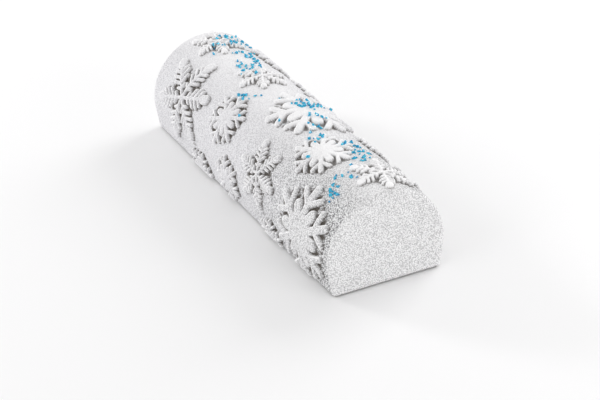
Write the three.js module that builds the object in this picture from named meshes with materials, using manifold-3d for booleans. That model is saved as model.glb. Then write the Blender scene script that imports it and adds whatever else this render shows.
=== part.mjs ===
// Ice cream yule log: one frozen log with a round top, cast in a mould with a
// raised snowflake pattern, sprayed white and scattered with blue sugar crystals.
// Millimetres, +Z up. The origin is in the middle of the flat base.
// X runs along the log, and Y across it.

import * as THREE from 'three';
import { mergeVertices } from 'three/addons/utils/BufferGeometryUtils.js';
import Module from 'manifold-3d';

// Driving dimensions of the log
const LOG_LENGTH = 250;
const LOG_HEIGHT = 59.4;
const ARCH_RADIUS = 38.2;
const ARCH_HALF_ANGLE = THREE.MathUtils.degToRad(98.5);
const ARCH_FACETS = 12;
const END_ROUNDING = 3;
const END_ROUNDING_STEPS = 2;
const BASE_EDGE = 1.5;

// The raised snowflakes
const RELIEF_HEIGHT = 2.2;
const RELIEF_BASE_MARGIN = 2.4;
const ARMS = 6;

// The blue sugar crystals
const CRYSTAL_RADIUS = 1.1;
const CRYSTAL_RISE = 0.3;
const CRYSTAL_GRIP = 0.3;
const CRYSTAL_CLEARANCE = 0.6;
const CRYSTAL_SEED = 2023;
const STREAM_FACTOR = 16807;
const STREAM_MODULUS = 2147483647;

const MERGE_DISTANCE = 1e-4;
const { degToRad } = THREE.MathUtils;

// The section of the log is a round arch that runs on into two straight flanks.
// A place on the skin is given by x along the log and by s, the distance from the
// crown measured round the section, negative towards -Y.
const ARCH_LENGTH = ARCH_RADIUS * ARCH_HALF_ANGLE;
const ARCH_CENTRE = LOG_HEIGHT - ARCH_RADIUS;
const FLANK_TOP = ARCH_CENTRE + ARCH_RADIUS * Math.cos(ARCH_HALF_ANGLE);
const FLANK_LENGTH = FLANK_TOP / Math.sin(ARCH_HALF_ANGLE);
const SKIN_END = ARCH_LENGTH + FLANK_LENGTH;
const RELIEF_END = SKIN_END - RELIEF_BASE_MARGIN;
const BODY_END = LOG_LENGTH / 2 - END_ROUNDING;

function skinPoint(s) {
  const along = Math.abs(s);
  const angle = Math.min(along, ARCH_LENGTH) / ARCH_RADIUS;
  const down = Math.max(along - ARCH_LENGTH, 0);
  const y = ARCH_RADIUS * Math.sin(angle) + down * Math.cos(ARCH_HALF_ANGLE);
  const z = ARCH_CENTRE + ARCH_RADIUS * Math.cos(angle) - down * Math.sin(ARCH_HALF_ANGLE);
  return new THREE.Vector2(Math.sign(s) * y, z);
}

// The creases of the faceted section, from one foot over the crown to the other.
// The relief lies between the third crease and the third from the end.
const creases = [-SKIN_END, BASE_EDGE - SKIN_END, -RELIEF_END];
for (let i = 0; i <= ARCH_FACETS; i += 1) {
  creases.push(ARCH_LENGTH * ((2 * i) / ARCH_FACETS - 1));
}
creases.push(RELIEF_END, SKIN_END - BASE_EDGE, SKIN_END);
const reliefCreases = creases.slice(2, -2);

// The section's corner at each crease. The foot is drawn in by the base edge.
const corners = creases.map(skinPoint);
corners[0].x += BASE_EDGE;
corners[corners.length - 1].x -= BASE_EDGE;

// The way a corner moves when both facets beside it move out by one millimetre.
const cornerNormals = corners.map((corner, i) => {
  const before = corners[(i + corners.length - 1) % corners.length];
  const after = corners[(i + 1) % corners.length];
  const steps = [corner.clone().sub(before), after.clone().sub(corner)];
  const normals = steps.map((step) => new THREE.Vector2(-step.y, step.x).normalize());
  const middle = normals[0].clone().add(normals[1]).normalize();
  return middle.divideScalar(middle.dot(normals[0]));
});

// Bends a point of the flat pattern (x, s, height above the skin) round the log.
function bend({ x, s, height }) {
  let i = 0;
  while (i < creases.length - 2 && s > creases[i + 1]) i += 1;
  const share = (s - creases[i]) / (creases[i + 1] - creases[i]);
  const place = corners[i].clone().lerp(corners[i + 1], share);
  const normal = cornerNormals[i].clone().lerp(cornerNormals[i + 1], share);
  return new THREE.Vector3(x, place.x + height * normal.x, place.y + height * normal.y);
}

// The skin is gathered as loose triangles, which are joined at their corners later.
const skin = [];
function addFace(...points) {
  skin.push(...points.flatMap((point) => point.toArray()));
}

function addQuad(a, b, c, d) {
  addFace(a, b, c);
  addFace(a, c, d);
}

// Snowflake designs, as shares of the flake's radius. All are made of round-ended bars.
// A spine runs out along each of the six arms, and side bars leave it in pairs. A star
// also has a petal between two arms, and a fern or a sprig has a bud at each tip.
const DESIGNS = {
  star: {
    spine: { length: 0.91, half: 0.085 },
    petal: { length: 0.53, half: 0.118 },
    sideBars: [{ root: 0.55, length: 0.37 }],
    sideAngle: 51,
    sideHalf: 0.064,
  },
  fern: {
    spine: { length: 0.75, half: 0.04 },
    bud: { root: 0.8, length: 0.08, half: 0.11 },
    sideBars: [
      { root: 0.205, length: 0.13 },
      { root: 0.34, length: 0.22 },
      { root: 0.475, length: 0.24 },
      { root: 0.61, length: 0.19 },
    ],
    sideAngle: 55,
    sideHalf: 0.04,
  },
  sprig: {
    spine: { length: 0.75, half: 0.05 },
    bud: { root: 0.81, length: 0.06, half: 0.12 },
    sideBars: [
      { root: 0.25, length: 0.15 },
      { root: 0.42, length: 0.24 },
      { root: 0.59, length: 0.2 },
    ],
    sideAngle: 55,
    sideHalf: 0.05,
  },
};
const HALF_SECTOR = Math.PI / ARMS;

// A round end is cut blunt: its corners lie this share of the bar's half width out.
const BLUNT = 0.75;

// Flakes: the middle (x, s), the radius, the turn in degrees and the design.
const FLAKES = [
  { x: -82.5, s: -42, radius: 30.6, turn: 20, design: 'fern' },
  { x: -27.7, s: -32.5, radius: 17.8, turn: 25, design: 'star' },
  { x: 29.1, s: -44.8, radius: 22, turn: 54, design: 'fern' },
  { x: 12.4, s: 10.6, radius: 29.8, turn: 14, design: 'star' },
  { x: 62.3, s: -8.6, radius: 19.6, turn: 29, design: 'star' },
  { x: 89.4, s: -54.9, radius: 31.5, turn: 30, design: 'star' },
  { x: 102.5, s: 9.4, radius: 19.6, turn: 46, design: 'sprig' },
  { x: -104.5, s: 2, radius: 17.8, turn: 50, design: 'sprig' },
  { x: -45, s: 4.3, radius: 17, turn: 39, design: 'sprig' },
  { x: -10, s: -66, radius: 16, turn: 40, design: 'star' },
  { x: -52, s: -80, radius: 16, turn: 10, design: 'star' },
  { x: 48, s: -80, radius: 15, turn: 25, design: 'star' },
  { x: -82, s: 42, radius: 25, turn: 12, design: 'star' },
  { x: -30, s: 46, radius: 23, turn: 48, design: 'sprig' },
  { x: 30, s: 58, radius: 19, turn: 20, design: 'star' },
  { x: 88, s: 54, radius: 23, turn: 5, design: 'sprig' },
  { x: 54, s: 35, radius: 13.5, turn: 10, design: 'star' },
  { x: -4, s: 78, radius: 14, turn: 15, design: 'star' },
  { x: -54, s: 79, radius: 15, turn: 35, design: 'star' },
  { x: 62, s: 80, radius: 13, turn: 5, design: 'star' },
];

// A bar from its root at an angle: its direction, the way to its inner side, and the
// corners of its blunt end.
function makeBar(root, angle, { length, half }) {
  const along = new THREE.Vector2(Math.cos(angle), Math.sin(angle));
  const beside = new THREE.Vector2(-along.y, along.x);
  const end = root.clone().addScaledVector(along, length + BLUNT * half);
  return {
    root,
    tip: root.clone().addScaledVector(along, length),
    half,
    along,
    beside,
    inner: end.clone().addScaledVector(beside, BLUNT * half),
    outer: end.clone().addScaledVector(beside, -BLUNT * half),
  };
}

// Where the inner (side 1) or outer (side -1) edge of a bar leaves the spine's edge.
function edgeOnSpine({ root, half, along, beside }, side, spineHalf) {
  const edge = root.clone().addScaledVector(beside, side * half);
  return edge.addScaledVector(along, (spineHalf - edge.y) / along.y);
}

// The bars of the half arm that all the others repeat.
function designBars({ spine, petal, bud, sideBars, sideAngle, sideHalf }) {
  const hub = new THREE.Vector2();
  const onAxis = (x) => new THREE.Vector2(x, 0);
  return {
    spine: makeBar(hub, 0, spine),
    petal: petal && makeBar(hub, HALF_SECTOR, petal),
    bud: bud && makeBar(onAxis(bud.root), 0, bud),
    sides: sideBars.map(({ root, length }) => (
      makeBar(onAxis(root), degToRad(sideAngle), { length, half: sideHalf })
    )),
  };
}

// One side of an arm, from the corner beside the next arm out to the arm's own tip.
// The close side bars of a fern meet in one point between each two.
function halfArm({ spine, petal, bud, sides }) {
  const points = [];
  if (petal) {
    points.push(petal.outer, edgeOnSpine(petal, -1, spine.half));
    for (const bar of sides) {
      const [start, end] = [1, -1].map((side) => edgeOnSpine(bar, side, spine.half));
      points.push(start, bar.inner, bar.outer, end);
    }
    return [...points, spine.inner];
  }
  const halfPitch = (sides[1].root.x - sides[0].root.x) / 2;
  for (const bar of sides) {
    const between = bar.root.clone().setX(bar.root.x + halfPitch);
    points.push(bar.inner, bar.outer, edgeOnSpine({ ...bar, root: between, half: 0 }, 1, spine.half));
  }
  return [...points, bud.root.clone().setY(bud.half), bud.inner];
}

// The outline of a flake on the flat pattern, anticlockwise.
function flakeOutline({ x, s, radius, turn, design }) {
  const bars = designBars(DESIGNS[design]);
  const half = halfArm(bars);
  const arm = [...half.map((p) => new THREE.Vector2(p.x, -p.y)), ...half.reverse()];
  if (!bars.petal) {
    arm.push(new THREE.Vector2(bars.spine.half / Math.tan(HALF_SECTOR), bars.spine.half));
  }
  const outline = [];
  for (let i = 0; i < ARMS; i += 1) {
    const angle = degToRad(turn) + (i * 2 * Math.PI) / ARMS;
    for (const point of arm) {
      const place = point.clone().rotateAround(new THREE.Vector2(), angle).multiplyScalar(radius);
      outline.push({ x: x + place.x, s: s + place.y });
    }
  }
  return outline;
}

// Adds a point to a closed outline wherever it crosses a crease.
function markCreases(outline) {
  const marked = [];
  outline.forEach((start, i) => {
    const end = outline[(i + 1) % outline.length];
    marked.push({ ...start, onCrease: false });
    const crossed = reliefCreases.filter((c) => (start.s - c) * (end.s - c) < 0);
    if (end.s < start.s) crossed.reverse();
    for (const crease of crossed) {
      const share = (crease - start.s) / (end.s - start.s);
      marked.push({ x: start.x + share * (end.x - start.x), s: crease, onCrease: true });
    }
  });
  return marked;
}

// Copies a closed row of points into a ring, in which each point knows the next.
function makeRing(points) {
  const ring = points.map((point) => ({ ...point }));
  ring.forEach((point, i) => {
    point.next = ring[(i + 1) % ring.length];
  });
  return ring;
}

// Along every crease the rings bound stretches of surface: pairs each stretch's ends.
function pairOnCreases(rings) {
  for (const crease of reliefCreases) {
    const row = rings.flat().filter((p) => p.onCrease && p.s === crease);
    row.sort((a, b) => a.x - b.x);
    for (let i = 0; i < row.length; i += 2) {
      row[i].partner = row[i + 1];
      row[i + 1].partner = row[i];
    }
  }
}

// Follows the rings from crease to crease, and gives the flat polygons between them
// that lie in the part of the skin with the relief.
function traceStrips(rings) {
  pairOnCreases(rings);
  const used = new Set();
  const polygons = [];
  for (const first of rings.flat()) {
    if (used.has(first)) continue;
    const polygon = [];
    let point = first;
    do {
      used.add(point);
      polygon.push(point);
      point = point.next;
      if (point.partner) {
        polygon.push(point);
        point = point.partner;
      }
    } while (point !== first);
    polygons.push(polygon);
  }
  return polygons.filter((polygon) => polygon.every((p) => Math.abs(p.s) <= RELIEF_END));
}

function addPolygons(polygons, height) {
  for (const polygon of polygons) {
    const contour = polygon.map((p) => new THREE.Vector2(p.x, p.s));
    for (const face of THREE.ShapeUtils.triangulateShape(contour, [])) {
      addFace(...face.map((i) => bend({ ...polygon[i], height })));
    }
  }
}

function addWall(start, end) {
  const raised = { height: RELIEF_HEIGHT };
  const level = { height: 0 };
  addQuad(
    bend({ ...start, ...level }),
    bend({ ...end, ...level }),
    bend({ ...end, ...raised }),
    bend({ ...start, ...raised }),
  );
}

// Raised flakes, their walls, and the plain skin between them.
const outlines = FLAKES.map(flakeOutline);
const marked = outlines.map(markCreases);

function addRelief() {
  const rings = marked.map(makeRing);
  addPolygons(traceStrips(rings), RELIEF_HEIGHT);
  for (const point of rings.flat()) {
    const both = [point, point.next];
    if (both.every((p) => Math.abs(p.s) <= RELIEF_END)) addWall(...both);
    const cutOff = point.partner && Math.abs(point.s) === RELIEF_END;
    if (cutOff && (point.partner.x - point.x) * point.s < 0) addWall(point, point.partner);
  }
}

function addPlainSkin() {
  const far = 2 * SKIN_END;
  const border = markCreases([
    { x: -BODY_END, s: -far },
    { x: BODY_END, s: -far },
    { x: BODY_END, s: far },
    { x: -BODY_END, s: far },
  ]);
  const rings = [border, ...marked.map((points) => points.slice().reverse())].map(makeRing);
  addPolygons(traceStrips(rings), 0);
  return rings;
}

// Below the relief the skin runs plainly down to the base edge and across the base.
function addFoot(rings) {
  const section = (x, i) => new THREE.Vector3(x, corners[i].x, corners[i].y);
  const last = corners.length - 1;
  for (const [top, middle, foot] of [[2, 1, 0], [last - 2, last - 1, last]]) {
    const row = rings.flat().filter((p) => p.onCrease && p.s === creases[top]);
    row.sort((a, b) => (a.x - b.x) * (top === 2 ? 1 : -1));
    const [start, end] = [row[0].x, row[row.length - 1].x];
    for (let i = 0; i + 1 < row.length; i += 1) {
      const [a, b] = [row[i], row[i + 1]].map((p) => bend({ ...p, height: 0 }));
      addFace(section(start, middle), b, a);
    }
    addFace(section(start, middle), section(end, middle), section(end, top));
    addQuad(section(start, foot), section(end, foot), section(end, middle), section(start, middle));
  }
  addQuad(
    section(-BODY_END, last),
    section(BODY_END, last),
    section(BODY_END, 0),
    section(-BODY_END, 0),
  );
}

// A rounded rim draws the section in by steps to the flat end face.
function addEnd(direction) {
  const loop = (step) => {
    const angle = (step / END_ROUNDING_STEPS) * (Math.PI / 2);
    const x = direction * (BODY_END + END_ROUNDING * Math.sin(angle));
    const inset = END_ROUNDING * (1 - Math.cos(angle));
    return corners.map((corner, i) => {
      const place = corner.clone().addScaledVector(cornerNormals[i], -inset);
      return new THREE.Vector3(x, place.x, place.y);
    });
  };
  const turned = (a, b, c) => (direction > 0 ? addFace(a, b, c) : addFace(a, c, b));
  const middle = new THREE.Vector3(direction * (LOG_LENGTH / 2), 0, ARCH_CENTRE);
  for (let step = 0; step < END_ROUNDING_STEPS; step += 1) {
    const [inner, outer] = [loop(step), loop(step + 1)];
    inner.forEach((point, i) => {
      const next = (i + 1) % inner.length;
      turned(point, outer[i], outer[next]);
      turned(point, outer[next], inner[next]);
      if (step === END_ROUNDING_STEPS - 1) turned(outer[i], middle, outer[next]);
    });
  }
}

addRelief();
addFoot(addPlainSkin());
addEnd(1);
addEnd(-1);

// A closed three.js geometry becomes a solid that can be joined.
const wasm = await Module();
wasm.setup();

function toSolid(geometry) {
  geometry.deleteAttribute('normal');
  geometry.deleteAttribute('uv');
  const merged = mergeVertices(geometry, MERGE_DISTANCE);
  return new wasm.Manifold(new wasm.Mesh({
    numProp: 3,
    vertProperties: new Float32Array(merged.attributes.position.array),
    triVerts: new Uint32Array(merged.index.array),
  }));
}

// Drifts of sugar crystals: the middle (x, s), the reach each way and the count.
// The last is a thin scatter of strays over the whole log.
const DRIFTS = [
  { x: -103, s: 10, reachX: 10, reachS: 14, count: 16 },
  { x: -78, s: 10, reachX: 9, reachS: 8, count: 9 },
  { x: -60, s: 2, reachX: 9, reachS: 8, count: 9 },
  { x: -31, s: -13, reachX: 7, reachS: 7, count: 5 },
  { x: 3, s: 11, reachX: 7, reachS: 9, count: 13 },
  { x: 28, s: 6, reachX: 9, reachS: 8, count: 6 },
  { x: 46, s: -4, reachX: 6, reachS: 7, count: 4 },
  { x: 72, s: 9, reachX: 11, reachS: 10, count: 13 },
  { x: 99, s: -15, reachX: 10, reachS: 10, count: 9 },
  { x: 0, s: 0, reachX: 118, reachS: 30, count: 10 },
];

let state = CRYSTAL_SEED;
function random() {
  state = (state * STREAM_FACTOR) % STREAM_MODULUS;
  return state / STREAM_MODULUS;
}

// Every bar of each design, as a line with a half width.
const designLines = {};
for (const [name, design] of Object.entries(DESIGNS)) {
  const { spine, petal, bud, sides } = designBars(design);
  designLines[name] = [spine, petal, bud, ...sides].filter(Boolean).map(({ root, tip, half }) => {
    const [start, end] = [root, tip].map((p) => new THREE.Vector3(p.x, p.y));
    return { line: new THREE.Line3(start, end), half };
  });
}

// How far a place lies outside the bars of a flake, or inside them where negative.
// All the half arms are folded onto one.
function distanceToFlake(place, { x, s, radius, turn, design }) {
  const away = new THREE.Vector2(place.x - x, place.s - s).divideScalar(radius);
  const angle = away.angle() - degToRad(turn);
  const sector = 2 * HALF_SECTOR;
  const folded = Math.abs(angle - sector * Math.round(angle / sector));
  const point = new THREE.Vector3(Math.cos(folded), Math.sin(folded)).multiplyScalar(away.length());
  const distances = designLines[design].map(({ line, half }) => (
    line.closestPointToPoint(point, true, new THREE.Vector3()).distanceTo(point) - half
  ));
  return radius * Math.min(...distances);
}

// A place in a drift, clear of the other crystals. It lies either on a flake or well
// clear of them all, so that no crystal is wedged in a corner.
const places = [];
function findPlace(drift) {
  const place = {};
  const touches = (other) => Math.hypot(other.x - place.x, other.s - place.s) < 2 * CRYSTAL_RADIUS;
  const isWedged = () => -CRYSTAL_GRIP < place.outside
    && place.outside < CRYSTAL_RADIUS + CRYSTAL_CLEARANCE;
  do {
    const angle = random() * 2 * Math.PI;
    const reach = Math.sqrt(random());
    place.x = drift.x + drift.reachX * reach * Math.cos(angle);
    place.s = drift.s + drift.reachS * reach * Math.sin(angle);
    place.outside = Math.min(...FLAKES.map((flake) => distanceToFlake(place, flake)));
  } while (places.some(touches) || isWedged());
  places.push(place);
  return place;
}

// A crystal is a small eight-sided grain lying any way up, half sunk in the spray.
function makeCrystal(place) {
  const turn = new THREE.Euler(random() * Math.PI, random() * Math.PI, random() * Math.PI);
  const ground = place.outside < 0 ? RELIEF_HEIGHT : 0;
  const geometry = new THREE.OctahedronGeometry(CRYSTAL_RADIUS);
  geometry.applyMatrix4(new THREE.Matrix4().makeRotationFromEuler(turn));
  geometry.translate(...bend({ x: place.x, s: place.s, height: ground + CRYSTAL_RISE }));
  return toSolid(geometry);
}

const skinGeometry = new THREE.BufferGeometry();
skinGeometry.setAttribute('position', new THREE.Float32BufferAttribute(skin, 3));
let solid = toSolid(skinGeometry);
for (const drift of DRIFTS) {
  for (let i = 0; i < drift.count; i += 1) {
    solid = solid.add(makeCrystal(findPlace(drift)));
  }
}

const mesh = solid.getMesh();
const logGeometry = new THREE.BufferGeometry();
logGeometry.setAttribute('position', new THREE.BufferAttribute(mesh.vertProperties, 3));
logGeometry.setIndex(new THREE.BufferAttribute(mesh.triVerts, 1));

const log = new THREE.Mesh(logGeometry, new THREE.MeshStandardMaterial({
  color: 0xe9e8ea,
  roughness: 0.9,
  metalness: 0,
}));
log.name = 'log';

const yuleLog = new THREE.Group();
yuleLog.add(log);

export default yuleLog;
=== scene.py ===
import math

import bmesh
import bpy
import numpy as np
from mathutils import Euler, Matrix, Vector


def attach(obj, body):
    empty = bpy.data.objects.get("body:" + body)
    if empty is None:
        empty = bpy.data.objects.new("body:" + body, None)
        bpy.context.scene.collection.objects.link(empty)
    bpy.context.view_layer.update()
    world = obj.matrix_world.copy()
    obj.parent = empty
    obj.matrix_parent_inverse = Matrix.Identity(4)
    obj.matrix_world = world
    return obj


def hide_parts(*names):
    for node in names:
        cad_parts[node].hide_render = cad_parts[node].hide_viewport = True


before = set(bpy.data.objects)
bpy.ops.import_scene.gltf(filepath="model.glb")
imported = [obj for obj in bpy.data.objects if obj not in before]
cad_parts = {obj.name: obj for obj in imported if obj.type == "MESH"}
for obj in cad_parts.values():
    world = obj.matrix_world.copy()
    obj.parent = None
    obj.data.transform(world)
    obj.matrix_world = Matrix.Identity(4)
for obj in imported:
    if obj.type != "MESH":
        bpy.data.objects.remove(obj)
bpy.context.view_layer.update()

# The body: ice cream frozen in a round-topped mould, with two flat ends and a flat base.
# Its section is an arch that runs on a little past the half circle into two straight
# flanks, and every edge is slightly rounded, as it leaves the mould.
MM = 0.001
LOG_LENGTH = 250
LOG_HEIGHT = 59.4
ARCH_RADIUS = 38.2
ARCH_HALF_ANGLE = math.radians(98.5)
END_ROUNDING = 3
BASE_ROUNDING = 3.2
GRID_STEP = 0.4
BASE_STEP = 4
RIM_STEPS = 8
RING_STEP = 0.7

arch_length = ARCH_RADIUS * ARCH_HALF_ANGLE
arch_centre = LOG_HEIGHT - ARCH_RADIUS
flank_top = arch_centre + ARCH_RADIUS * math.cos(ARCH_HALF_ANGLE)
skin_end = arch_length + flank_top / math.sin(ARCH_HALF_ANGLE)
body_end = LOG_LENGTH / 2 - END_ROUNDING
foot_turn = math.pi - ARCH_HALF_ANGLE
foot_edge = BASE_ROUNDING * math.tan(foot_turn / 2)


def skin_place(s):
    """The section's y and z at the distances s from the crown, measured round the skin."""
    along = np.abs(s)
    angle = np.minimum(along, arch_length) / ARCH_RADIUS
    down = np.maximum(along - arch_length, 0)
    y = ARCH_RADIUS * np.sin(angle) + down * math.cos(ARCH_HALF_ANGLE)
    z = arch_centre + ARCH_RADIUS * np.cos(angle) - down * math.sin(ARCH_HALF_ANGLE)
    return np.stack([np.sign(s) * y, z], axis=-1)


def section_loop(skin_s):
    """The closed section: up one flank, over the crown, down the other and back along the base."""
    skin = skin_place(skin_s)
    share = np.clip((np.abs(skin_s) - skin_end) / foot_edge + 1, 0, 1)
    angle = ARCH_HALF_ANGLE + share * foot_turn
    half_base = skin_place(skin_end)[0] - foot_edge
    edge_y = np.sign(skin_s) * (half_base + BASE_ROUNDING * np.sin(angle))
    edge_z = BASE_ROUNDING * (1 + np.cos(angle))
    skin = np.where(share[:, None] > 0, np.stack([edge_y, edge_z], axis=1), skin)
    steps = round(2 * half_base / BASE_STEP)
    base_y = np.linspace(half_base, -half_base, steps + 1)[1:-1]
    base = np.stack([base_y, np.zeros_like(base_y)], axis=1)
    return np.concatenate([skin, base])


def outward(loop):
    """The outward direction at each point of the closed section."""
    tangent = np.roll(loop, -1, axis=0) - np.roll(loop, 1, axis=0)
    normal = np.stack([-tangent[:, 1], tangent[:, 0]], axis=1)
    return normal / np.linalg.norm(normal, axis=1, keepdims=True)


skin_s = np.linspace(-skin_end, skin_end, round(2 * skin_end / GRID_STEP) + 1)
body_x = np.linspace(-body_end, body_end, round(2 * body_end / GRID_STEP) + 1)
loop = section_loop(skin_s)
loop_normal = outward(loop)

# The snowflakes: cut into the mould's wall, so they stand on the log as fat bars with
# round ends. A star has one pair of side bars on each arm and a petal between the arms.
# A fern has four pairs of leaves on each arm and a bud, and a sprig has three pairs.
FLAKE_RISE = 2.3
BAR_SHOULDER = 0.55
BAR_DOME = 1.8
DOME_SHARE = 0.22
FOOT_GAP = 2.4
FLAKE_MARGIN = 1.1
OWN_WEIGHT = 8
ARM_SPACING = 60
# Sizes of the bars, as shares of the flake's radius
STAR_ARM_LENGTH = 0.91
STAR_ARM_HALF = 0.085
STAR_SIDE_ROOT = 0.55
STAR_SIDE_ANGLE = 51
STAR_SIDE_LENGTH = 0.37
STAR_SIDE_HALF = 0.064
PETAL_ANGLE = 30
PETAL_LENGTH = 0.53
PETAL_HALF = 0.118
LEAFY_ARM_LENGTH = 0.75
LEAF_ANGLE = 55
FERN_HALF = 0.04
FERN_BUD = (0.8, 0.08, 0.11)
FERN_LEAVES = [(0.205, 0.13), (0.34, 0.22), (0.475, 0.24), (0.61, 0.19)]
SPRIG_HALF = 0.05
SPRIG_BUD = (0.81, 0.06, 0.12)
SPRIG_LEAVES = [(0.25, 0.15), (0.42, 0.24), (0.59, 0.2)]
STAR = "star"
FERN = "fern"
SPRIG = "sprig"
# Each flake's middle along the log and round the skin, radius, turn and design
FLAKES = [
    (-82.5, -42, 30.6, 20, FERN),
    (-27.7, -32.5, 17.8, 25, STAR),
    (29.1, -44.8, 22, 54, FERN),
    (12.4, 10.6, 29.8, 14, STAR),
    (62.3, -8.6, 19.6, 29, STAR),
    (89.4, -54.9, 31.5, 30, STAR),
    (102.5, 9.4, 19.6, 46, SPRIG),
    (-104.5, 2, 17.8, 50, SPRIG),
    (-45, 4.3, 17, 39, SPRIG),
    (-10, -66, 16, 40, STAR),
    (-52, -80, 16, 10, STAR),
    (48, -80, 15, 25, STAR),
    (-82, 42, 25, 12, STAR),
    (-30, 46, 23, 48, SPRIG),
    (30, 58, 19, 20, STAR),
    (88, 54, 23, 5, SPRIG),
    (54, 35, 13.5, 10, STAR),
    (-4, 78, 14, 15, STAR),
    (-54, 79, 15, 35, STAR),
    (62, 80, 13, 5, STAR),
]


def bar(root, angle, length, half):
    """A round-ended bar that leaves the arm at a root, with the angle between them."""
    turn = math.radians(angle)
    start = (root, 0)
    end = (root + length * math.cos(turn), length * math.sin(turn))
    return start, end, half


def leafy_arm(half, bud, leaves):
    """The bars of an arm with a bud near its end and leaves along it."""
    bud_root, bud_length, bud_half = bud
    bars = [bar(0, 0, LEAFY_ARM_LENGTH, half), bar(bud_root, 0, bud_length, bud_half)]
    for root, length in leaves:
        bars.append(bar(root, LEAF_ANGLE, length, half))
    return bars


flake_bars = {
    STAR: [
        bar(0, 0, STAR_ARM_LENGTH, STAR_ARM_HALF),
        bar(STAR_SIDE_ROOT, STAR_SIDE_ANGLE, STAR_SIDE_LENGTH, STAR_SIDE_HALF),
        bar(0, PETAL_ANGLE, PETAL_LENGTH, PETAL_HALF),
    ],
    FERN: leafy_arm(FERN_HALF, FERN_BUD, FERN_LEAVES),
    SPRIG: leafy_arm(SPRIG_HALF, SPRIG_BUD, SPRIG_LEAVES),
}


def bar_distance(u, v, start, end, half):
    """How far a place lies outside a round-ended bar, or inside it where negative."""
    step = (end[0] - start[0], end[1] - start[1])
    size = step[0] ** 2 + step[1] ** 2
    share = np.clip(((u - start[0]) * step[0] + (v - start[1]) * step[1]) / size, 0, 1)
    return np.hypot(u - start[0] - share * step[0], v - start[1] - share * step[1]) - half


def flake_distance(x, s, flake):
    """How far the places lie outside the bars of a flake. All arms fold onto half of one."""
    centre_x, centre_s, radius, turn, kind = flake
    away = np.hypot(x - centre_x, s - centre_s) / radius
    angle = np.degrees(np.arctan2(s - centre_s, x - centre_x)) - turn
    angle = (angle + ARM_SPACING / 2) % ARM_SPACING - ARM_SPACING / 2
    angle = np.radians(np.abs(angle))
    u, v = away * np.cos(angle), away * np.sin(angle)
    distances = [bar_distance(u, v, start, end, half) for start, end, half in flake_bars[kind]]
    return radius * np.minimum.reduce(distances)


grid_x, grid_s = np.meshgrid(body_x, skin_s, indexing="ij")
outside = np.full(grid_x.shape, float(LOG_LENGTH))
for flake in FLAKES:
    centre_x, centre_s, radius = flake[:3]
    near = np.hypot(grid_x - centre_x, grid_s - centre_s) < FLAKE_MARGIN * radius
    outside[near] = np.minimum(outside[near], flake_distance(grid_x[near], grid_s[near], flake))
outside = np.maximum(outside, np.abs(grid_s) - skin_end + FOOT_GAP)


def quarter_round(depth):
    """Climbs from 0 to 1 as a quarter circle over the depths 0 to 1."""
    return np.sqrt(1 - (1 - np.clip(depth, 0, 1)) ** 2)


crisp = quarter_round(-outside / BAR_SHOULDER)
domed = quarter_round(-outside / BAR_DOME)
rise = FLAKE_RISE * ((1 - DOME_SHARE) * crisp + DOME_SHARE * domed)


def soften(height):
    """Evens out a height field a little with its four neighbours, as the spray does."""
    padded = np.pad(height, 1, mode="edge")
    sides = padded[:-2, 1:-1] + padded[2:, 1:-1] + padded[1:-1, :-2] + padded[1:-1, 2:]
    return (OWN_WEIGHT * height + sides) / (OWN_WEIGHT + 4)


rise = soften(rise)

# Painted light and shade, worked out from the skin's shape. The edges that face the light from
# above and from the far end, the crown, the two end faces and the tops of the bars are painted
# whiter, as painted highlight and painted light. The lee side of the bars, where their shadows
# fall, the slits and pockets between them and the foot are painted dark, as painted shadow and
# painted shade.
SLIT_TURNS = range(0, 180, 30)
LIGHT_TURNS = (150, 180, 210)
POCKET_REACH = 4.0
POCKET_SLOPE = 0.3
POCKET_DEPTH = 1.55
SHADOW_REACH = 1.4
SHADOW_SLOPE = 1.8
SHADOW_DEPTH = 1.1
PAINTED_SHADE_START = 0.42
PAINTED_SHADE_FULL = 0.8
PAINTED_SHADE_ON_CROWN = 0.8
CROWN_REACH = 21
OVERHANG_STEPS = 8
FOOT_SHADE_HEIGHT = 1.4
LIT_EDGE_REACH = 1.2
LIT_EDGE_SLOPE = 0.8
LIT_EDGE_DEPTH = 1.1
LIT_TOP_SHARE = 0.08
LIT_TOP_SHARE_ON_CROWN = 0.15
LIT_TOP_SHARE_NEAR_END = 0.35
CROWN_LIGHT_SHARE = 0.6
END_LIGHT_SHARE = 0.47


def shifted(height, along_x, along_s):
    """The height field as seen from places that lie a way off from each of its own, in mm."""
    columns = np.arange(height.shape[0]) + round(along_x / GRID_STEP)
    rows = np.arange(height.shape[1]) + round(along_s / GRID_STEP)
    columns = np.clip(columns, 0, height.shape[0] - 1)
    rows = np.clip(rows, 0, height.shape[1] - 1)
    return height[columns[:, None], rows[None, :]]


def overhang(height, direction, reach, slope):
    """How far the field in a direction stands above each place, less so the farther off."""
    turn = math.radians(direction)
    above = np.zeros_like(height)
    for step in range(1, OVERHANG_STEPS + 1):
        away = reach * step / OVERHANG_STEPS
        beside = shifted(height, away * math.cos(turn), away * math.sin(turn))
        above = np.maximum(above, beside - height - slope * away)
    return above


# Painted shade in the slits and pockets that the bars wall in on two sides
painted_shade = np.zeros_like(rise)
for direction in SLIT_TURNS:
    one_side = overhang(rise, direction, POCKET_REACH, POCKET_SLOPE)
    other_side = overhang(rise, direction + 180, POCKET_REACH, POCKET_SLOPE)
    painted_shade = np.maximum(painted_shade, np.minimum(one_side, other_side) / POCKET_DEPTH)
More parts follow.
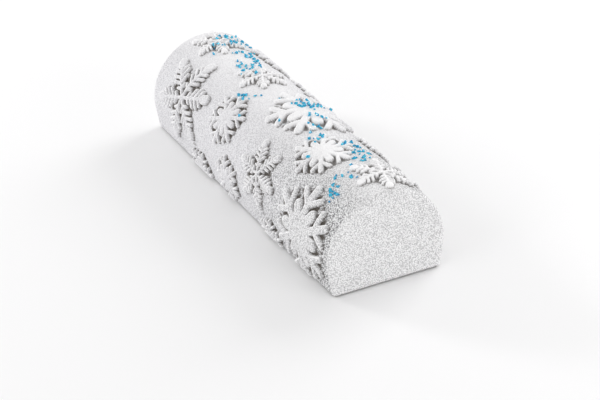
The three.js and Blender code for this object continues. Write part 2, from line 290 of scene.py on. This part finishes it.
# Painted highlight on the bar edges that face the light, and painted shadow on their lee side
painted_light = np.zeros_like(rise)
for direction in LIGHT_TURNS:
    cast_shadow = overhang(rise, direction, SHADOW_REACH, SHADOW_SLOPE)
    painted_shade = np.maximum(painted_shade, cast_shadow / SHADOW_DEPTH)
    lit_edge = overhang(-rise, direction, LIT_EDGE_REACH, LIT_EDGE_SLOPE)
    painted_light = np.maximum(painted_light, lit_edge / LIT_EDGE_DEPTH)
painted_shade = np.clip((painted_shade - PAINTED_SHADE_START) / (PAINTED_SHADE_FULL - PAINTED_SHADE_START), 0, 1)
on_crown = np.exp(-(grid_s / CROWN_REACH) ** 2)
near_end = np.clip(2 * grid_x / LOG_LENGTH, 0, 1)
# Painted light: the bar tops are painted whiter, more on the crown and towards the near end, and
# the whole crown is painted whiter
lit_top_share = LIT_TOP_SHARE + LIT_TOP_SHARE_ON_CROWN * on_crown + LIT_TOP_SHARE_NEAR_END * near_end
painted_light = np.clip(painted_light + lit_top_share * rise / FLAKE_RISE + CROWN_LIGHT_SHARE * on_crown, 0, 1)
# The painted shade is weaker on the crown, which the light from behind reaches
off_crown = np.clip(np.abs(grid_s) / CROWN_REACH, 0, 1) ** 2
painted_shade = painted_shade * (PAINTED_SHADE_ON_CROWN + (1 - PAINTED_SHADE_ON_CROWN) * off_crown)

# The skin of the cast log: it runs from the middle of one end face, out over its rim,
# along the body with its flakes and in to the middle of the other end face, one closed
# ring of points after another, so the log is a single closed piece.
rings = []
ring_x = []
middle = np.array([0, arch_centre])
spread = np.linalg.norm(loop - middle, axis=1).max()
ring_count = round(spread / RING_STEP)
rim_loop = loop - END_ROUNDING * loop_normal
for number in range(1, ring_count):
    share = number / ring_count
    rings.append(middle + share * (rim_loop - middle))
    ring_x.append(LOG_LENGTH / 2)
for step in range(RIM_STEPS):
    angle = math.pi / 2 * step / RIM_STEPS
    rings.append(loop - END_ROUNDING * (1 - math.sin(angle)) * loop_normal)
    ring_x.append(body_end + END_ROUNDING * math.cos(angle))

loop_size = len(loop)
skin_count = len(skin_s)
points = []
for ring, x in zip(rings, ring_x):
    points.append(np.column_stack([np.full(loop_size, -x), ring]))
for column, x in enumerate(body_x):
    lift = np.zeros(loop_size)
    lift[:skin_count] = rise[column]
    ring = loop + lift[:, None] * loop_normal
    points.append(np.column_stack([np.full(loop_size, x), ring]))
for ring, x in zip(reversed(rings), reversed(ring_x)):
    points.append(np.column_stack([np.full(loop_size, x), ring]))
ring_total = len(points)
caps = np.array([[-LOG_LENGTH / 2, *middle], [LOG_LENGTH / 2, *middle]])
vertices = np.concatenate(points + [caps]) * MM

ring_index = np.arange(ring_total - 1)[:, None] * loop_size
around = np.arange(loop_size)[None, :]
after = (around + 1) % loop_size
quads = np.stack([
    ring_index + around,
    ring_index + loop_size + around,
    ring_index + loop_size + after,
    ring_index + after,
], axis=-1).reshape(-1, 4)
far_cap = ring_total * loop_size
near_cap = far_cap + 1
last_ring = (ring_total - 1) * loop_size
fans = []
for corner in range(loop_size):
    next_corner = (corner + 1) % loop_size
    fans.append((far_cap, corner, next_corner))
    fans.append((near_cap, last_ring + next_corner, last_ring + corner))

log_mesh = bpy.data.meshes.new("log_body")
log_mesh.from_pydata(vertices.tolist(), [], quads.tolist() + fans)


def on_points(field, at_ends):
    """Spreads a field of the skin's grid over the mesh, with one value for both end faces."""
    values = np.full((ring_total, loop_size), float(at_ends))
    values[len(rings):len(rings) + len(body_x), :skin_count] = field
    return np.append(values.ravel(), [at_ends, at_ends])


# Painted contact shadow: a dark line up the skin from the foot, but not on the underside
foot_shade = 1 - vertices[:, 2] / (FOOT_SHADE_HEIGHT * MM)
underside = (np.arange(len(vertices)) % loop_size >= skin_count) & (vertices[:, 2] == 0)
foot_shade[underside] = 0
painted_shade_points = np.maximum(on_points(painted_shade, 0), foot_shade)
# The painted shade and the painted light go onto the mesh's points; the end faces get an even
# share of painted light
for name, values in [("painted_shade", painted_shade_points), ("painted_light", on_points(painted_light, END_LIGHT_SHARE))]:
    shade = log_mesh.attributes.new(name, "FLOAT", "POINT")
    shade.data.foreach_set("value", values)
log_mesh.update()
log_mesh.shade_smooth()
log_body = bpy.data.objects.new("log_body", log_mesh)
bpy.context.scene.collection.objects.link(log_body)

# The spray: drops of white cocoa butter freeze on the cold log into a velvety grain. The
# larger grains show as relief. The finer ones are painted as light beads with dark lines
# between them, a painted highlight on the bead tops and painted shade between them, which
# is best marked at the near end and fainter over the far half.
GRAIN_SIZE = 0.9
GRAIN_HEIGHT = 0.28
BEADS_PER_METRE = 1120
BEAD_UNEVENNESS = 0.8
BEAD_TURN = (0.5, 0.7, 0.4)
# Painted highlight on the bead tops and painted shade in the lines between the beads
BEAD_LIT_TOP = (0.95, 0.95, 0.955, 1)
BEAD_GAP_SHADE = (0.16, 0.16, 0.165, 1)
BEAD_LIT_TOP_END = 0.3
BEAD_SHADE_START = 0.7
BEAD_RELIEF = 0.5
PALE_UP_TO = -20
MARKED_FROM = 120
PALE_SHARE = 0.34
SPRAY_COLOUR = (0.82, 0.813, 0.84, 1)
# The colour of the painted highlight and painted light
PAINTED_LIGHT_COLOUR = (0.98, 0.975, 0.98, 1)
# The colour of the painted shade and painted shadow
PAINTED_SHADE_COLOUR = (0.085, 0.072, 0.06, 1)
grain_texture = bpy.data.textures.new("spray_grain", "CLOUDS")
grain_texture.noise_scale = GRAIN_SIZE * MM
grain_texture.noise_depth = 1
grain = log_body.modifiers.new("spray_grain", "DISPLACE")
grain.texture = grain_texture
grain.texture_coords = "LOCAL"
grain.strength = 2 * GRAIN_HEIGHT * MM
grain.mid_level = 0.5
bpy.context.view_layer.objects.active = log_body
bpy.ops.object.modifier_apply(modifier=grain.name)
for vertex in log_mesh.vertices:
    vertex.co.z = max(vertex.co.z, 0)


def new_material(name):
    """A material with its shader and its links, ready for more nodes."""
    material = bpy.data.materials.new(name)
    material.use_nodes = True
    nodes = material.node_tree.nodes
    return material, nodes, material.node_tree.links, nodes["Principled BSDF"]


velvet, nodes, links, shader = new_material("velvet_spray")
shader.inputs["Roughness"].default_value = 0.95
shader.inputs["Specular IOR Level"].default_value = 0.25
shader.inputs["Sheen Weight"].default_value = 0.15
shader.inputs["Sheen Roughness"].default_value = 0.6
log_space = nodes.new("ShaderNodeTexCoord")
turned = nodes.new("ShaderNodeMapping")
turned.inputs["Rotation"].default_value = BEAD_TURN
links.new(log_space.outputs["Object"], turned.inputs["Vector"])
beads = nodes.new("ShaderNodeTexVoronoi")
beads.inputs["Scale"].default_value = BEADS_PER_METRE
beads.inputs["Randomness"].default_value = BEAD_UNEVENNESS
links.new(turned.outputs["Vector"], beads.inputs["Vector"])
# The beads' lit tops and shaded lines, as painted highlight and painted shade
bead_light_and_shade = nodes.new("ShaderNodeValToRGB")
bead_light_and_shade.color_ramp.elements[0].position = BEAD_LIT_TOP_END
bead_light_and_shade.color_ramp.elements[0].color = BEAD_LIT_TOP
bead_light_and_shade.color_ramp.elements[1].position = BEAD_SHADE_START
bead_light_and_shade.color_ramp.elements[1].color = BEAD_GAP_SHADE
links.new(beads.outputs["Distance"], bead_light_and_shade.inputs["Fac"])

along = nodes.new("ShaderNodeSeparateXYZ")
links.new(log_space.outputs["Object"], along.inputs["Vector"])
marked = nodes.new("ShaderNodeMapRange")
marked.interpolation_type = "SMOOTHSTEP"
marked.inputs["From Min"].default_value = PALE_UP_TO * MM
marked.inputs["From Max"].default_value = MARKED_FROM * MM
marked.inputs["To Min"].default_value = PALE_SHARE
links.new(along.outputs["X"], marked.inputs["Value"])


def mixed(share, first, second):
    """Mixes the second colour into the first by a share. A colour is a link or a value."""
    mix = nodes.new("ShaderNodeMix")
    mix.data_type = "RGBA"
    links.new(share, mix.inputs["Factor"])
    for name, colour in [("A", first), ("B", second)]:
        if isinstance(colour, tuple):
            mix.inputs[name].default_value = colour
        else:
            links.new(colour, mix.inputs[name])
    return mix.outputs["Result"]


def skin_share(name):
    """The share that the mesh holds at its points under a name."""
    share = nodes.new("ShaderNodeAttribute")
    share.attribute_name = name
    return share.outputs["Fac"]


# The spray's colour with its beads, then painted light over it, then painted shade
beaded = mixed(marked.outputs["Result"], SPRAY_COLOUR, bead_light_and_shade.outputs["Color"])
with_painted_light = mixed(skin_share("painted_light"), beaded, PAINTED_LIGHT_COLOUR)
with_painted_shade = mixed(skin_share("painted_shade"), with_painted_light, PAINTED_SHADE_COLOUR)
links.new(with_painted_shade, shader.inputs["Base Color"])
bump = nodes.new("ShaderNodeBump")
bump.inputs["Distance"].default_value = BEAD_RELIEF * MM
bump.invert = True
links.new(beads.outputs["Distance"], bump.inputs["Height"])
links.new(bump.outputs["Normal"], shader.inputs["Normal"])
log_mesh.materials.append(velvet)
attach(log_body, "root")
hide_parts("log")

# The sugar crystals: coarse blue sugar, scattered by hand in drifts along the crown and
# sunk a little into the spray. Each is a small broken grain, glossy and slightly clear,
# and smaller grains lie between the large ones.

# Each drift's middle along the log and round the skin, its reach both ways and its
# number of crystals, with the strays last
DRIFTS = [
    (-103, 10, 10, 14, 16),
    (-78, 10, 9, 8, 9),
    (-60, 2, 9, 8, 9),
    (-31, -13, 7, 7, 5),
    (3, 11, 7, 9, 13),
    (28, 6, 9, 8, 6),
    (46, -4, 6, 7, 4),
    (72, 9, 11, 10, 13),
    (99, -15, 10, 10, 9),
    (0, 0, 118, 30, 10),
]
CRYSTAL_RADIUS = 1.1
CRYSTAL_RISE = 0.3
CRYSTAL_GRIP = 0.3
CRYSTAL_CLEARANCE = 0.6
CRYSTAL_SEED = 2023
CORNERS = 11
LARGE_STRETCH = (1.05, 1.5)
SMALL_STRETCH = (0.6, 1.0)
SMALL_DRIFT = (1.6, 4.5)
STREAM_FACTOR = 16807
STREAM_MODULUS = 2147483647
SUGAR_DARK = (0.0, 0.2, 0.42, 1)
SUGAR_LIGHT = (0.07, 0.62, 0.8, 1)
CLOUDS_PER_METRE = 850
stream_state = CRYSTAL_SEED


def draw():
    """The next number of the stream that scatters the crystals, from 0 to 1."""
    global stream_state
    stream_state = stream_state * STREAM_FACTOR % STREAM_MODULUS
    return stream_state / STREAM_MODULUS


def outside_flakes(x, s):
    """How far a place on the skin lies outside all the flakes, or inside one where negative."""
    return min(float(flake_distance(np.array(x), np.array(s), flake)) for flake in FLAKES)


crystal_places = []
crystal_turns = []
for drift_x, drift_s, reach_x, reach_s, count in DRIFTS:
    for _ in range(count):
        while True:
            angle = draw() * 2 * math.pi
            reach = math.sqrt(draw())
            x = drift_x + reach_x * reach * math.cos(angle)
            s = drift_s + reach_s * reach * math.sin(angle)
            gaps = [math.hypot(x - other[0], s - other[1]) for other in crystal_places]
            outside_all = outside_flakes(x, s)
            wedged = -CRYSTAL_GRIP < outside_all < CRYSTAL_RADIUS + CRYSTAL_CLEARANCE
            if not wedged and min(gaps, default=CRYSTAL_RADIUS * 2) >= CRYSTAL_RADIUS * 2:
                break
        crystal_places.append((x, s))
        crystal_turns.append([draw() * math.pi for _ in range(3)])

shape_draws = np.random.default_rng(CRYSTAL_SEED)
crystals = bmesh.new()


def add_crystal(x, s, turns, stretch_range):
    """Lays a broken grain with random corners on the skin."""
    column = int(np.argmin(np.abs(body_x - x)))
    row = int(np.argmin(np.abs(skin_s - s)))
    ground = loop[row] + (rise[column, row] + CRYSTAL_RISE) * loop_normal[row]
    stretch = shape_draws.uniform(*stretch_range, 3)
    corners = shape_draws.normal(size=(CORNERS, 3))
    corners /= np.linalg.norm(corners, axis=1, keepdims=True)
    turn = Euler(turns, "XYZ").to_matrix()
    grain_corners = []
    for corner in corners * stretch * CRYSTAL_RADIUS:
        corner_place = Vector((x, *ground)) + turn @ Vector(corner)
        grain_corners.append(crystals.verts.new(corner_place * MM))
    hull = bmesh.ops.convex_hull(crystals, input=grain_corners)
    loose = [item for item in hull["geom_interior"] if isinstance(item, bmesh.types.BMVert)]
    bmesh.ops.delete(crystals, geom=loose, context="VERTS")


for (x, s), turns in zip(crystal_places, crystal_turns):
    add_crystal(x, s, turns, LARGE_STRETCH)
strays = DRIFTS[-1][-1]
for x, s in crystal_places[:-strays]:
    angle = shape_draws.uniform(0, 2 * math.pi)
    away = shape_draws.uniform(*SMALL_DRIFT)
    turns = shape_draws.uniform(0, math.pi, 3)
    add_crystal(x + away * math.cos(angle), s + away * math.sin(angle), turns, SMALL_STRETCH)
crystal_mesh = bpy.data.meshes.new("sugar_crystals")
crystals.to_mesh(crystal_mesh)
crystals.free()
sugar_crystals = bpy.data.objects.new("sugar_crystals", crystal_mesh)
bpy.context.scene.collection.objects.link(sugar_crystals)

blue_sugar, nodes, links, shader = new_material("blue_sugar")
shader.inputs["Roughness"].default_value = 0.18
shader.inputs["IOR"].default_value = 1.5
shader.inputs["Subsurface Weight"].default_value = 0.3
shader.inputs["Subsurface Radius"].default_value = (0.1, 0.6, 1.0)
shader.inputs["Subsurface Scale"].default_value = 0.8 * MM
sugar_space = nodes.new("ShaderNodeTexCoord")
cloudy = nodes.new("ShaderNodeTexNoise")
cloudy.inputs["Scale"].default_value = CLOUDS_PER_METRE
cloudy.inputs["Detail"].default_value = 2
links.new(sugar_space.outputs["Object"], cloudy.inputs["Vector"])
tint = nodes.new("ShaderNodeValToRGB")
tint.color_ramp.elements[0].position = 0.35
tint.color_ramp.elements[0].color = SUGAR_DARK
tint.color_ramp.elements[1].position = 0.65
tint.color_ramp.elements[1].color = SUGAR_LIGHT
links.new(cloudy.outputs["Fac"], tint.inputs["Fac"])
links.new(tint.outputs["Color"], shader.inputs["Base Color"])
crystal_mesh.materials.append(blue_sugar)
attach(sugar_crystals, "root")
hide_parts("log")

# The floor and a soft studio: the pale room gives most of the light. Four soft lights
# bring out the relief: one past the far end, one behind the log, so that its crown is
# bright, and two fills, one before the long side and one before the near end.
FLOOR_HALF = 6
FLOOR_DROP = 0.0002
FLOOR_COLOUR = (0.9, 0.9, 0.9, 1)
ROOM_LIGHT = (1, 0.995, 1, 1)
ROOM_STRENGTH = 0.74
LIGHT_TARGET = Vector((0, 0, 0.03))
LIGHTS = [
    ("far_light", (-1.1, -0.7, 0.55), 0.3, 5),
    ("back_light", (-0.4, 1.2, 0.7), 0.8, 8.5),
    ("side_fill", (0.3, -1.3, 0.3), 0.8, 4),
    ("end_fill", (1.3, 0.6, 0.3), 0.8, 5.6),
]

floor_corners = [(side_x * FLOOR_HALF, side_y * FLOOR_HALF, 0)
                 for side_x, side_y in [(-1, -1), (1, -1), (1, 1), (-1, 1)]]
floor_mesh = bpy.data.meshes.new("floor")
floor_mesh.from_pydata(floor_corners, [], [(0, 1, 2, 3)])
floor = bpy.data.objects.new("floor", floor_mesh)
floor.location.z = -FLOOR_DROP
bpy.context.scene.collection.objects.link(floor)
floor_paint, nodes, links, shader = new_material("floor_paint")
shader.inputs["Base Color"].default_value = FLOOR_COLOUR
shader.inputs["Roughness"].default_value = 0.6
floor_mesh.materials.append(floor_paint)

room = bpy.data.worlds.new("studio")
bpy.context.scene.world = room
room.use_nodes = True
room.node_tree.nodes["Background"].inputs["Color"].default_value = ROOM_LIGHT
room.node_tree.nodes["Background"].inputs["Strength"].default_value = ROOM_STRENGTH
for name, light_place, size, watts in LIGHTS:
    lamp = bpy.data.lights.new(name, "AREA")
    lamp.size = size
    lamp.energy = watts
    light = bpy.data.objects.new(name, lamp)
    light.location = light_place
    light.rotation_euler = (LIGHT_TARGET - light.location).to_track_quat("-Z", "Y").to_euler()
    bpy.context.scene.collection.objects.link(light)
bpy.context.scene.view_settings.view_transform = "Standard"

# The camera: a long lens looking down on the near end, at the photograph's angle.
CAMERA_PLACE = (1.08618, -0.51617, 0.67171)
CAMERA_TARGET = (0.011427, 0, -0.000407)
CAMERA_ROLL = math.radians(-2.439)
LENS_LENGTH = 132.57
SENSOR_WIDTH = 36
camera_data = bpy.data.cameras.new("camera")
camera_data.sensor_width = SENSOR_WIDTH
camera_data.lens = LENS_LENGTH
camera = bpy.data.objects.new("camera", camera_data)
sight = Vector(CAMERA_TARGET) - Vector(CAMERA_PLACE)
aim = sight.to_track_quat("-Z", "Y").to_matrix().to_4x4()
roll = Matrix.Rotation(CAMERA_ROLL, 4, "Z")
camera.matrix_world = Matrix.Translation(CAMERA_PLACE) @ aim @ roll
bpy.context.scene.collection.objects.link(camera)
bpy.context.scene.camera = camera
